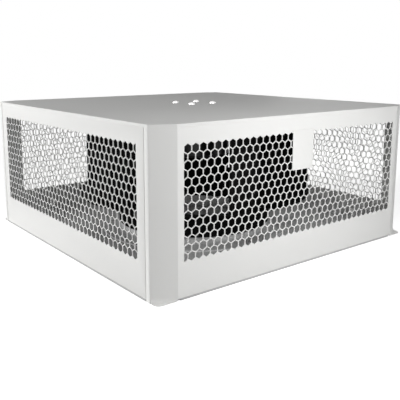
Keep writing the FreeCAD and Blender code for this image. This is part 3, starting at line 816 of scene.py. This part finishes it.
@dataclass
class Hood(SubAssembly):
    """Four perforated panels, the top plate and the plate on the front grille."""

    sheet: float = PANEL_SHEET
    fold_radius: float = 2.5*MM
    flange: float = 20*MM
    front_chamfer: float = 25*MM
    side_chamfer: float = 12*MM
    chamfer_runs: int = 14
    corner_radius: float = 1.6*MM
    corner_strip: float = 6.3*MM
    seam_gap: float = 0.8*MM
    fold_relief: float = 3*MM
    foot_fold: float = 4*MM
    foot_tip: float = 7*MM
    foot_steps: int = 10
    cut_edge: float = 0.25*MM
    rim_angle: float = 25.0
    rim_round: float = 0.7*MM
    pitch: float = 9.43*MM
    cell_width: float = 8.4*MM
    cell_edge: float = 0.15*MM
    rows: int = 14
    columns: int = 35
    grille_middle: float = 95.8*MM
    plate_width: float = 33*MM
    plate_height: float = 44.5*MM
    plate_thickness: float = 0.8*MM
    plate_shift: float = -2.6*MM
    plate_middle: float = 133.4*MM
    plate_corner: float = 1.5*MM
    half: float = field(init=False)
    low: float = field(init=False)
    top: float = field(init=False)
    lid: float = field(init=False)
    rim: float = field(init=False)

    def __post_init__(self) -> None:
        """Read the hood's levels from the frame."""
        self.half = -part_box("front_panel")[0].y
        self.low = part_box("left_panel")[0].z
        self.top, self.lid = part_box("top_plate")[0].z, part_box("top_plate")[1].z
        self.rim = self.top - bend(self.fold_radius, math.radians(self.rim_angle))[0][1]

    def build(self) -> None:
        """Build every piece of the hood."""
        honeycomb = Honeycomb()
        cells = self.cell("grille_cell", self.whole_cell), self.cell("grille_half_cell", self.half_cell)
        for side in Side:
            name = side.name.lower()
            blank = self.end_blank() if side in (Side.FRONT, Side.REAR) else self.side_blank()
            sheet = self.thicken(blank.make(f"{name}_grille", False))
            panel = self.perforate(honeycomb, sheet, cells)
            panel.data.transform(Matrix.Rotation(math.radians(side.value), 4, "Z"))
            self.fit(panel, Slot.HOOD_PAINT, f"{name}_panel")
        for cell in cells:
            bpy.data.objects.remove(cell)
        self.fit(self.top_plate(), Slot.HOOD_PAINT, "top_plate")
        self.fit(self.name_plate(), Slot.HOOD_PAINT)

    def cell(self, name: str, outline: Callable[[float], list[Point]]) -> bpy.types.Object:
        """Build the shape that one hole takes out of the sheet, with broken edges on both faces.

        Args:
            name: of the object.
            outline: plan outline of the hole, grown by a distance.

        Returns:
            The object, with the sheet's outer face at height 0.
        """
        over = self.sheet
        levels = [(over, over + self.cell_edge), (-self.cell_edge, 0.0), (self.cell_edge - self.sheet, 0.0),
                  (-self.sheet - over, over + self.cell_edge)]
        rings = [[Vector((x, y, level)) for x, y in outline(grown)] for level, grown in levels]
        return Draft().loft(rings[::-1]).make(name)

    def whole_cell(self, grown: float) -> list[Point]:
        """Give the outline of a hole that stands on a point.

        Args:
            grown: distance by which its sides move out.

        Returns:
            Its corners.
        """
        radius = (self.cell_width/2 + grown)/math.cos(math.pi/6)
        angles = [math.pi/6 + math.pi/3*k for k in range(6)]
        return [(radius*math.cos(a), radius*math.sin(a)) for a in angles]

    def half_cell(self, grown: float) -> list[Point]:
        """Give the outline of the left half of such a hole.

        Args:
            grown: distance by which its sides move out.

        Returns:
            Its corners.
        """
        apothem = self.cell_width/2 + grown
        radius = apothem/math.cos(math.pi/6)
        end = radius - grown*math.tan(math.pi/6)
        return [(grown, end), (-apothem, radius/2), (-apothem, -radius/2), (grown, -end)]

    def perforate(self, honeycomb: Honeycomb, panel: bpy.types.Object,
                  cells: tuple[bpy.types.Object, bpy.types.Object]) -> bpy.types.Object:
        """Cut the grille into a panel at the front.

        Args:
            honeycomb: the tree that cuts it.
            panel: the panel.
            cells: a hole and a half hole.

        Returns:
            The panel.
        """
        return honeycomb.run(panel, {
            "Cell": cells[0], "Half Cell": cells[1],
            "Pitch": self.pitch, "Row Step": self.pitch*math.cos(math.pi/6),
            "Rows": self.rows, "Columns": self.columns, "Face": -self.half, "Middle": self.grille_middle,
            "Finish": self.shelf[Slot.HOOD_PAINT]})

    def thicken(self, panel: bpy.types.Object) -> bpy.types.Object:
        """Give a panel's outer surface its thickness and rounded cut edges.

        Args:
            panel: the surface.

        Returns:
            The sheet.
        """
        solidify = panel.modifiers.new("sheet", "SOLIDIFY")
        solidify.thickness = self.sheet
        solidify.offset = -1.0  # inwards
        return round_edges(settle(panel), self.cut_edge)

    def fold(self, levels: Sequence[float], x: float) -> list[Vector]:
        """Give a column of points up a front face, over the top fold and along the flange.

        Args:
            levels: heights below the fold.
            x: of the column.

        Returns:
            The points.
        """
        column = [Vector((x, -self.half, level)) for level in levels]
        column += [Vector((x, inset - self.half, self.top - drop)) for inset, drop in bend(self.fold_radius)]
        return column + [Vector((x, self.flange - self.half, self.top))]

    def side_blank(self) -> Draft:
        """Draw the outer surface of a side panel, at the front."""
        end = self.half - self.side_chamfer - self.corner_strip - self.seam_gap
        return Draft().surface([self.fold([self.low], x) for x in (end, -end)])

    def end_blank(self) -> Draft:
        """Draw the outer surface of the front panel with its chamfers and feet.

        Returns:
            The surface.
        """
        draft = Draft()
        spring = self.sheet + self.foot_fold
        flat = self.half - self.front_chamfer - self.fold_relief
        draft.surface([self.fold([self.low, spring], x) for x in (flat, -flat)])
        path, chamfer = self.corner_path(flat)
        levels = [0.0, self.low, spring, self.top - self.fold_radius, self.rim]
        for mirror in (1, -1):
            for k, (start, end) in enumerate(zip(path, path[1:])):
                # The strip in front of the chamfer starts at the panel's lower edge, the chamfer above its
                # foot, and the strip behind it on the roof.
                lowest = 1 if k < chamfer.start else 2 if k in chamfer else 0
                for low, high in zip(levels[lowest:], levels[lowest + 1:]):
                    rows = [[Vector((mirror*x, y, z)) for z in (low, high)] for x, y in (start, end)]
                    draft.surface(rows[::-mirror])
            feet = [self.foot_column(path[k], mirror) for k in range(chamfer.start, chamfer.stop + 1)]
            draft.surface(feet[::-mirror])
        return draft

    def corner_path(self, start: float) -> tuple[list[Point], range]:
        """Give the plan path of the outer face round the front right corner.

        Args:
            start: X of its first point.

        Returns:
            The points and the range of the runs that lie on the chamfer.
        """
        half, front, side = self.half, self.half - self.front_chamfer, self.side_chamfer - self.half
        turns = [Vector(point) for point in (
            (start, -half), (front, -half), (half, side), (half, side + self.corner_strip))]
        front_fold = self.rounded_corner(*turns[:3], self.corner_radius)
        side_fold = self.rounded_corner(*turns[1:], self.corner_radius)
        first, last = Vector(front_fold[-1]), Vector(side_fold[0])
        between = [tuple(first.lerp(last, k/self.chamfer_runs)) for k in range(1, self.chamfer_runs)]
        path = [tuple(turns[0])] + front_fold + between + side_fold + [tuple(turns[-1])]
        return path, range(len(front_fold), len(front_fold) + self.chamfer_runs)

    def rounded_corner(self, before: Vector, corner: Vector, after: Vector, radius: float) -> list[Point]:
        """Give the points of a fold between two straight runs.

        Args:
            before: a point on the first run.
            corner: where the runs would meet.
            after: a point on the second run.
            radius: of the fold.

        Returns:
            Points on the fold's arc.
        """
        inward, outward = (before - corner).normalized(), (after - corner).normalized()
        opening = inward.angle(outward)
        centre = corner + (inward + outward).normalized()*radius/math.sin(opening/2)
        reach = radius/math.tan(opening/2)
        first, last = corner + inward*reach - centre, corner + outward*reach - centre
        shares = [k/ARC_STEPS for k in range(ARC_STEPS + 1)]
        return [tuple(first.lerp(last, share).normalized()*radius + centre) for share in shares]

    def foot_column(self, start: Point, mirror: int) -> list[Vector]:
        """Give a column of points from the roof up the rim of a foot and over its fold to the chamfer.

        Args:
            start: plan place on the chamfer at the right.
            mirror: -1 at the left end.

        Returns:
            The points, from the roof upwards.
        """
        along = Vector((self.front_chamfer, self.side_chamfer)).normalized()
        outward = Vector((along.y, -along.x))
        reach = self.foot_reach(Vector(start), outward)
        fold = self.foot_fold
        quarter = fold*math.pi/2
        bent = fold*math.acos(1 - reach/fold) if reach < fold else quarter
        total = bent + max(0.0, reach - fold)
        column = []
        for k in range(self.foot_steps, -1, -1):
            run = total*k/self.foot_steps
            angle = min(run, quarter)/fold
            out = fold*(1 - math.cos(angle)) + max(0.0, run - quarter)
            height = self.sheet + fold*(1 - math.sin(angle))
            column.append(Vector((mirror*(start[0] + outward.x*out), start[1] + outward.y*out, height)))
        return [Vector((*column[0].xy, 0.0))] + column

    def foot_reach(self, start: Vector, outward: Vector) -> float:
        """Give the width of the foot at a place on the chamfer.

        Args:
            start: the place.
            outward: direction away from the chamfer.

        Returns:
            The distance to the rounded corner of the footprint.
        """
        reach = min((self.half - start.x)/outward.x, (start.y + self.half)/-outward.y)
        centre = Vector((self.half - self.foot_tip, self.foot_tip - self.half))
        tip = start + outward*reach - centre
        if tip.x > 0 and tip.y < 0:
            offset = start - centre
            lead = offset.dot(outward)
            reach = -lead + math.sqrt(lead*lead - offset.length_squared + self.foot_tip**2)
        return reach

    def top_plate(self) -> bpy.types.Object:
        """Build the plate that closes the hood, with a thin rim that fills the folds under its edge.

        Returns:
            The plate.
        """
        folds = bend(self.fold_radius, math.radians(self.rim_angle))
        profile = [(inset, self.top - drop) for inset, drop in folds[::-1]] + [(0.0, self.rim)]
        profile += [(inset, self.lid - drop) for inset, drop in bend(self.rim_round)]
        rings = [[Vector((x, y, level)) for x, y in self.top_outline(inset)] for inset, level in profile]
        return Draft().loft(rings).make("hood_top")

    def top_outline(self, inset: float) -> list[Point]:
        """Give the plan outline of the hood.

        Args:
            inset: distance inside its outer faces.

        Returns:
            The points, anticlockwise, with rounded corners.
        """
        slant = math.hypot(self.front_chamfer, self.side_chamfer)
        edge = self.half - inset
        front = self.half - self.front_chamfer - inset*(slant - self.front_chamfer)/self.side_chamfer
        side = self.half - self.side_chamfer - inset*(slant - self.side_chamfer)/self.front_chamfer
        turns = [Vector(point) for point in ((0.0, -edge), (front, -edge), (edge, -side), (edge, 0.0))]
        radius = max(self.corner_radius - inset, self.cut_edge)
        quarter = self.rounded_corner(*turns[:3], radius) + self.rounded_corner(*turns[1:], radius)
        outline = quarter + [(x, -y) for x, y in quarter[::-1]]
        return outline + [(-x, -y) for x, y in outline]

    def name_plate(self) -> bpy.types.Object:
        """Build the bare plate on the front grille.

        Returns:
            The plate.
        """
        radius = self.plate_corner
        across, up = self.plate_width/2 - radius, self.plate_height/2 - radius
        outline = []
        for quarter, (x, z) in enumerate(((across, up), (-across, up), (-across, -up), (across, -up))):
            middle = x + self.plate_shift, z + self.plate_middle
            for k in range(ARC_STEPS + 1):
                angle = math.pi/2*(quarter + k/ARC_STEPS)
                outline.append((middle[0] + radius*math.cos(angle), middle[1] + radius*math.sin(angle)))
        levels = (-self.half, -self.half - self.plate_thickness)
        rings = [[Vector((x, y, z)) for x, z in outline] for y in levels]
        return round_edges(Draft().loft(rings).make("front_plate"), self.cut_edge)


@dataclass
class Base(SubAssembly):
    """Roof seal, tray, intake nozzle, their fixings, and the electrical entry.

    Sizes of a rivet or an insert across its axis are radii.
    """

    # Shares of a rivet's head and dome: the end under the sheets, and the head with its mandrel's hollow.
    RIVET_END = ((0.75, 0.0), (1.0, 0.4), (1.0, 1.0))
    RIVET_HEAD = ((1.0, 0.0), (1.0, 0.2), (0.88, 0.6), (0.65, 0.9), (0.4, 1.0), (0.36, 0.5))

    seal_edge: float = 0.5*MM
    rivet_count: int = 8
    rivet_head: float = 3.8*MM
    rivet_shank: float = 2*MM
    rivet_dome: float = 1.3*MM
    side_nut: Nut = Nut(width=8*MM, height=4*MM, stud=5*MM, grip=2.2*MM)
    side_nut_spacing: float = 240*MM
    top_nut: Nut = Nut(width=7*MM, height=3.2*MM, stud=4*MM, grip=1*MM)
    top_nut_spacing: float = 220*MM
    insert_bore: float = 3*MM
    insert_body: float = 4.5*MM
    insert_bulge: float = 5.5*MM
    insert_flange: float = 6.5*MM
    insert_lip: float = 0.8*MM
    bulge_height: float = 2*MM

    def build(self) -> None:
        """Build every piece of the base."""
        seal = round_edges(merged_copy("roof_seal", "foam_seal"), self.seal_edge)
        self.fit(seal, Slot.SEAL_FOAM, "roof_seal")
        self.spread(self.rivet(), self.rivet_count, Slot.RIVET_ALUMINIUM, "nozzle_rivets")
        self.spread(self.insert(), len(Side), Slot.ZINC_FASTENER, "mounting_rivet_nuts")
        low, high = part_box("panel_studs")
        root = (0.0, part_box("front_panel")[0].y + PANEL_SHEET, (low.z + high.z)/2)
        stand = Matrix.Translation(root) @ Matrix.Rotation(-math.pi/2, 4, "X")
        nuts = self.side_nut.pair("side_nuts", stand, self.side_nut_spacing)
        self.spread(nuts, len(Side), Slot.ZINC_FASTENER, "panel_studs", "panel_nuts")
        low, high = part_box("top_plate_studs")
        root = (0.0, low.y + self.top_nut.stud/2, high.z)
        stand = Matrix.Translation(root) @ Matrix.Rotation(math.pi, 4, "X")
        nuts = self.top_nut.pair("top_nuts", stand, self.top_nut_spacing)
        self.spread(nuts, len(Side), Slot.ZINC_FASTENER, "top_plate_studs", "top_plate_nuts")
        self.dress(Slot.ZINC_SHEET, "base_tray", "inlet_nozzle")
        self.dress(Slot.GROMMET_RUBBER, "cable_grommet")
        self.dress(Slot.BOX_PLASTIC, "terminal_box", "terminal_box_lid")
        self.dress(Slot.ZINC_FASTENER, "lid_screws")

    def rivet(self) -> bpy.types.Object:
        """Build a blind rivet with the hollow that its mandrel leaves.

        Returns:
            The rivet.
        """
        low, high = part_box("nozzle_rivets")
        head, dome = self.rivet_head, self.rivet_dome
        seat = high.z - dome
        cuts = [(share*head, low.z + rise*dome) for share, rise in self.RIVET_END]
        cuts += [(self.rivet_shank, low.z + dome), (self.rivet_shank, seat)]
        cuts += [(share*head, seat + rise*dome) for share, rise in self.RIVET_HEAD]
        rings = stack([(Section.ROUND, *cut) for cut in cuts], (high.x - head, 0.0))
        return Draft().loft(rings).make("nozzle_rivet")

    def insert(self) -> bpy.types.Object:
        """Build a threaded insert of the tray.

        Returns:
            The insert.
        """
        low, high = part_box("mounting_rivet_nuts")
        under, sheet_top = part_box("base_tray")[0].z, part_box("inlet_nozzle")[0].z
        lip, bulge = low.z + self.insert_lip, sheet_top + self.bulge_height
        cuts = [
            (self.insert_bore, low.z), (self.insert_flange, low.z), (self.insert_flange, lip),
            (self.insert_body, under), (self.insert_body, sheet_top), (self.insert_bulge, sheet_top),
            (self.insert_bulge, bulge), (self.insert_body, bulge), (self.insert_body, high.z),
            (self.insert_bore, high.z)]
        centre = (high.x - self.insert_flange, high.y - self.insert_flange)
        return Draft().loft(stack([(Section.ROUND, *cut) for cut in cuts], centre), True).make("roof_insert")


@dataclass
class Motor(SubAssembly):
    """External-rotor motor under the top plate: its standing pieces."""

    screw_count: int = 4
    screw_spacing: float = 36*MM
    screw: ButtonScrew = ButtonScrew(thread=1.97*MM, head=4*MM, crown=2.6*MM, socket=2.5*MM, depth=1.5*MM)

    def build(self) -> None:
        """Build every standing piece of the motor."""
        low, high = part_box("motor_screws")
        place = (self.screw_spacing/2, self.screw_spacing/2)
        screw = Draft().loft(self.screw.rings(low.z, high.z, place)).make("top_screws")
        self.spread(screw, self.screw_count, Slot.ZINC_FASTENER, "motor_screws")
        self.dress(Slot.MOTOR_CASTING, "motor_flange")
        self.dress(Slot.BRIGHT_STEEL, "lower_bearing", "upper_bearing")
        self.dress(Slot.CORE_STEEL, "stator_core")
        self.dress(Slot.COPPER, "stator_windings")


@dataclass
class Impeller(SubAssembly):
    """Turning pieces: rotor can, shaft, discs, blades and hub screws."""

    body: Body = Body.ROTOR
    blade_count: int = 5
    blade_edge: float = 0.4*MM
    screw_count: int = 6
    screw: ButtonScrew = ButtonScrew(thread=2.47*MM, head=4.5*MM, crown=2.8*MM, socket=3*MM, depth=1.6*MM)

    def build(self) -> None:
        """Build every turning piece."""
        blade = round_edges(merged_copy("impeller_blade_1", "impeller_blades"), self.blade_edge)
        nodes = [f"impeller_blade_{k + 1}" for k in range(self.blade_count)]
        self.spread(blade, self.blade_count, Slot.BLACK_PLASTIC, *nodes)
        low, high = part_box("hub_screws")
        place = (high.x - self.screw.head, 0.0)
        screw = Draft().loft(self.screw.rings(low.z, high.z, place)).make("hub_screw_set")
        self.spread(screw, self.screw_count, Slot.ZINC_FASTENER, "hub_screws")
        self.dress(Slot.BLACK_PLASTIC, "impeller_back_plate", "impeller_shroud")
        self.dress(Slot.CAN_PAINT, "rotor_can")
        self.dress(Slot.BRIGHT_STEEL, "rotor_shaft")
        self.dress(Slot.MAGNET, "rotor_magnets")
        self.dress(Slot.ZINC_FASTENER, "shaft_circlip")


def aimed(place: Place, direction: Vector) -> Matrix:
    """Give the stand of a light or camera that looks in a direction."""
    return Matrix.Translation(place) @ direction.to_track_quat("-Z", "Y").to_matrix().to_4x4()


@dataclass(frozen=True)
class SoftBox:
    """A square studio light."""

    name: str
    place: Place
    aim: Place
    size: float
    power: float

    def hang(self) -> None:
        """Add the light to the scene."""
        lamp = bpy.data.lights.new(self.name, "AREA")
        lamp.shape = "SQUARE"
        lamp.size = self.size
        lamp.energy = self.power
        obj = bpy.data.objects.new(self.name, lamp)
        obj.matrix_world = aimed(self.place, Vector(self.aim) - Vector(self.place))
        obj.visible_camera = False
        bpy.context.scene.collection.objects.link(obj)


@dataclass
class Studio:
    """Floor, world, lights and camera."""

    camera_place: Place = (-0.4921, -0.6318, 0.2309)
    camera_yaw: float = 37.806
    camera_pitch: float = 10.011
    lens: float = 52.59
    sensor: float = 36.0
    shift: Point = (0.0183, -0.0921)
    clip: Point = (0.01, 50.0)
    floor_radius: float = 9.0
    floor_points: int = 64
    floor_level: float = -0.05*MM
    floor_paper: float = 0.8
    floor_glow: float = 0.72
    floor_fade: Point = (0.42, 0.9)
    # half width of the square under the hood where the floor's glow is left out, a painted shadow
    hood_shade: float = 0.185
    world_light: float = 0.036
    lights: tuple[SoftBox, ...] = (
        SoftBox("left_rear_box", (-2.185, 1.261, 0.709), (0.0, 0.0, 0.1), size=1.2, power=51.0),
        SoftBox("left_near_box", (-0.8, 0.0, 0.3), (-0.2, 0.0, 0.1), size=0.5, power=0.55),
        SoftBox("front_low_box", (0.03, -0.7, 0.16), (0.0, -0.2, 0.12), size=0.3, power=0.89),
        SoftBox("front_near_box", (0.0, -0.5, 0.2), (0.0, -0.2, 0.12), size=0.2, power=0.37),
        SoftBox("front_high_box", (-0.12, -0.5, 0.42), (0.0, -0.2, 0.12), size=0.3, power=0.66),
        SoftBox("right_low_box", (0.9, 0.5, 0.12), (0.2, 0.0, 0.09), size=0.3, power=3.5),
    )

    def build(self) -> None:
        """Set up the studio."""
        scene = bpy.context.scene
        scene.view_settings.view_transform = "Standard"
        self.world(scene)
        self.floor()
        for light in self.lights:
            light.hang()
        self.camera(scene)

    def seen(self, bench: Bench) -> Wire:
        """Tell rays that show the surroundings from rays that light the object.

        Args:
            bench: bench of the material or world.

        Returns:
            1 on rays that show the surroundings and 0 on the others.
        """
        path = bench.add("ShaderNodeLightPath").outputs
        rays = [Wire(bench, path[name]) for name in ("Is Camera Ray", "Is Glossy Ray", "Is Transmission Ray")]
        return rays[0] + rays[1] + rays[2]

    def world(self, scene: bpy.types.Scene) -> None:
        """Make the world white where it is seen and an even light elsewhere.

        Args:
            scene: the scene.
        """
        world = bpy.data.worlds.new("studio")
        world.use_nodes = True
        scene.world = world
        bench = Bench(world.node_tree)
        light = bench.add("ShaderNodeBackground", None, {"Color": grey(1.0), "Strength": self.world_light})
        white = bench.add("ShaderNodeBackground", None, {"Color": grey(1.0), "Strength": 1.0})
        both = bench.add("ShaderNodeMixShader", None, {
            0: self.seen(bench), 1: light.outputs[0], 2: white.outputs[0]})
        bench.add("ShaderNodeOutputWorld", None, {"Surface": both.outputs[0]})

    def floor(self) -> None:
        """Lay a light-coloured floor that keeps the shadow, has a painted shadow under the hood, and fades to
        white.
        """
        draft = Draft()
        outline = circle(self.floor_radius, self.floor_level, points=self.floor_points)
        draft.mesh.faces.new([draft.mesh.verts.new(point) for point in outline])
        obj = draft.make("studio_floor", False)
        obj.data.materials.append(self.paper())

    def paper(self) -> bpy.types.Material:
        """Build the floor's material, which is plain paper for rays that light the object.

        Returns:
            The material.
        """
        material = bpy.data.materials.new("floor_paper")
        material.use_nodes = True
        bench = Bench(material.node_tree)
        place = bench.add("ShaderNodeTexCoord").outputs["Object"]
        away = bench.wire("ShaderNodeVectorMath", {"operation": "LENGTH"}, {0: place}, "Value")
        near, far = self.floor_fade
        fade = bench.wire("ShaderNodeMapRange", {"interpolation_type": "SMOOTHSTEP"},
                          {"Value": away, "From Min": near, "From Max": far})
        paper = bench.add("ShaderNodeBsdfDiffuse", None, {"Color": grey(self.floor_paper)})
        # Under the hood the glow is left out, which paints a shadow there.
        glow_colour_with_painted_shadow = bench.mix(self.outside_painted_shadow(bench, place), grey(0.0), grey(self.floor_glow))
        glow = bench.add("ShaderNodeEmission", None, {"Color": glow_colour_with_painted_shadow, "Strength": 1.0})
        lit = bench.add("ShaderNodeAddShader", None, {0: paper.outputs[0], 1: glow.outputs[0]})
        white = bench.add("ShaderNodeEmission", None, {"Color": grey(1.0), "Strength": 1.0})
        shown = bench.add("ShaderNodeMixShader", None, {0: fade, 1: lit.outputs[0], 2: white.outputs[0]})
        both = bench.add("ShaderNodeMixShader", None, {
            0: self.seen(bench), 1: paper.outputs[0], 2: shown.outputs[0]})
        bench.add("ShaderNodeOutputMaterial", None, {"Surface": both.outputs[0]})
        return material

    def outside_painted_shadow(self, bench: Bench, place: bpy.types.NodeSocket) -> Wire:
        """Mark the floor beyond the hood; under it the floor's glow is left out, which paints a shadow there.

        Args:
            bench: the material's bench.
            place: coordinates.

        Returns:
            0 under the hood and 1 elsewhere.
        """
        axes = bench.add("ShaderNodeSeparateXYZ", None, {0: place}).outputs
        across, along = [bench.maths("ABSOLUTE", Wire(bench, axis)) for axis in axes[:2]]
        return bench.maths("GREATER_THAN", bench.maths("MAXIMUM", across, along), self.hood_shade)

    def camera(self, scene: bpy.types.Scene) -> None:
        """Set the camera at the viewing angle of the photograph.

        Args:
            scene: the scene.
        """
        data = bpy.data.cameras.new("view")
        data.lens, data.sensor_width = self.lens, self.sensor
        data.shift_x, data.shift_y = self.shift
        data.clip_start, data.clip_end = self.clip
        yaw, pitch = math.radians(self.camera_yaw), math.radians(self.camera_pitch)
        forward = Vector((math.sin(yaw)*math.cos(pitch), math.cos(yaw)*math.cos(pitch), -math.sin(pitch)))
        obj = bpy.data.objects.new("view", data)
        obj.matrix_world = aimed(self.camera_place, forward)
        scene.collection.objects.link(obj)
        scene.camera = obj


def main() -> None:
    """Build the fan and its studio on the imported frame."""
    logging.basicConfig(level=logging.INFO, format="%(name)s %(message)s")
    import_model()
    shelf, copies = FinishShelf(), TurnedCopies()
    for assembly in (Hood(shelf, copies), Base(shelf, copies), Motor(shelf, copies), Impeller(shelf, copies)):
        assembly.build()
    Studio().build()


if __name__ == "__main__":
    main()
